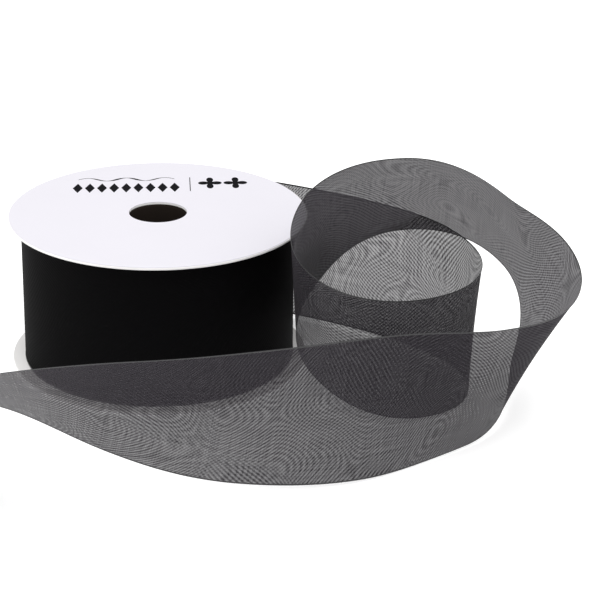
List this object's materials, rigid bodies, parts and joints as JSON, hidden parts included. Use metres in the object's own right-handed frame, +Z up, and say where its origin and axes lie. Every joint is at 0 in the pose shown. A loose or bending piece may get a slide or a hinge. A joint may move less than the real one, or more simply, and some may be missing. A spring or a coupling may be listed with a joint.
{
  "type": "ribbon spool",
  "caption": "Flat spool with two thin round flanges on a hollow core, wound with black sheer ribbon; a loose end of the ribbon loops beside it and runs across in front.",
  "frame": {"origin": "on the standing surface, on the axis of the spool", "axes": "+Z up along the axis of the spool, which stands on its end; +X towards the loop of loose ribbon; the loose end runs in front, towards -Y and -X"},
  "size_m": [0.2628, 0.2051, 0.0811],
  "materials": {
    "paper_facing": "smooth coated white paper",
    "paper_board": "white paperboard with a fibrous cut edge",
    "core_board": "dark brown wound paper tube",
    "hot_glue": "pale clear glue",
    "start_tape": "satin white tape",
    "sheer_ribbon": "black sheer woven ribbon with plain edges"
  },
  "bodies": {
    "free_ribbon": {"ribbon_tail": "sheer_ribbon"},
    "spool": {"top_flange_board": "paper_board", "top_flange_facing": "paper_facing", "bottom_flange_board": "paper_board", "bottom_flange_facing": "paper_facing", "core_tube": "core_board", "top_glue_bead": "hot_glue", "bottom_glue_bead": "hot_glue", "start_tape": "start_tape", "ribbon_winding": "sheer_ribbon"}
  },
  "joints": [
    {"name": "spool_turn", "type": "hinge", "parent": "free_ribbon", "child": "spool", "pos_m": [0, 0, 0], "axis": [0, 0, 1], "continuous": true}
  ]
}
